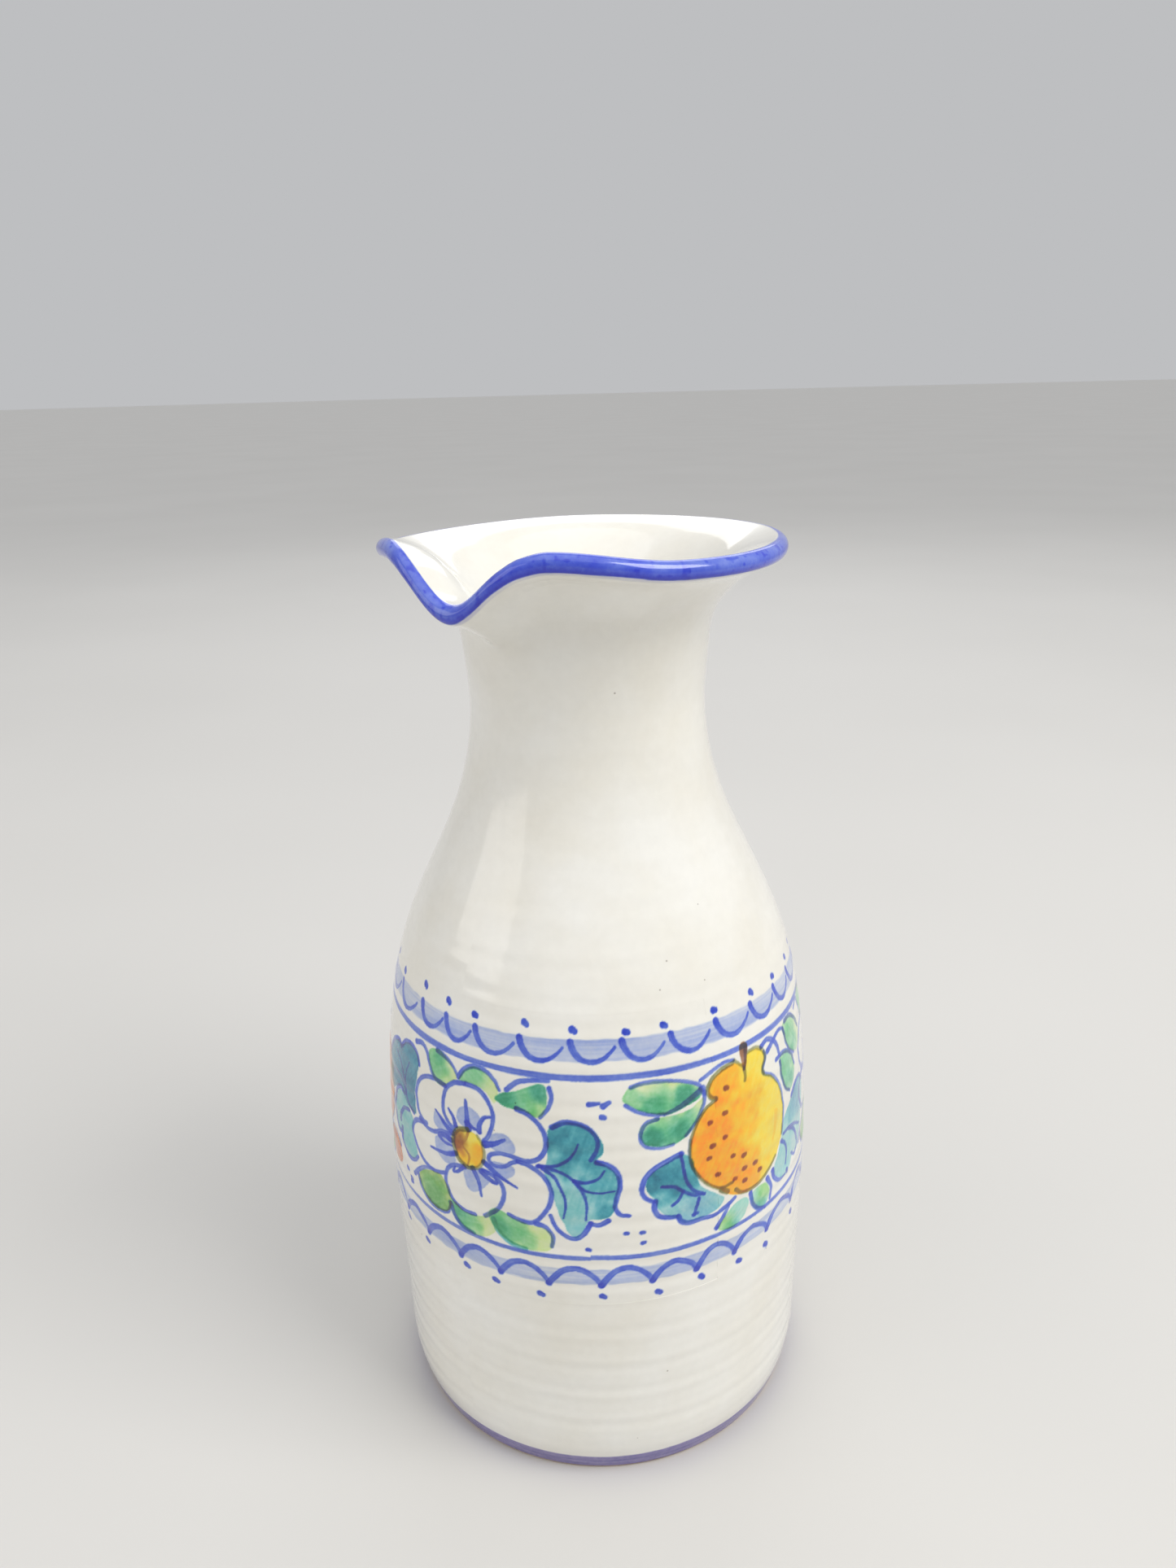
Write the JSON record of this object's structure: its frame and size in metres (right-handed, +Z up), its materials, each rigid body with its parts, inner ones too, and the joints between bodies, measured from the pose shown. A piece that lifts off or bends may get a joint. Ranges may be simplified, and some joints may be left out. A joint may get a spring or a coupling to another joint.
{
  "type": "ceramic pitcher",
  "caption": "Hand-thrown glazed ceramic pitcher with a straight belly, waisted neck and pulled pouring lip, painted with fruit, flowers and leaves between scalloped blue borders.",
  "frame": {"origin": "on the pot's axis, in the plane of the foot ring", "axes": "+Z up along the axis of the thrown body, -Y towards the pouring lip"},
  "size_m": [0.1178, 0.1178, 0.2425],
  "materials": {
    "fired_clay": "matt, unglazed",
    "white_glaze": "gloss, warm white tin glaze",
    "foot_paint": "gloss, violet blue line",
    "border_paint": "gloss, brushed cobalt scallops on white",
    "frieze_paint": "gloss, hand-painted fruit and leaves on white",
    "lip_blue": "gloss, mottled cobalt blue"
  },
  "bodies": {
    "root": {"clay_body": "fired_clay", "clay_neck": "fired_clay", "inner_glaze": "white_glaze", "belly_glaze": "white_glaze", "neck_glaze": "white_glaze", "foot_band": "foot_paint", "lower_border": "border_paint", "fruit_frieze": "frieze_paint", "upper_border": "border_paint", "lip_band": "lip_blue"}
  },
  "joints": []
}
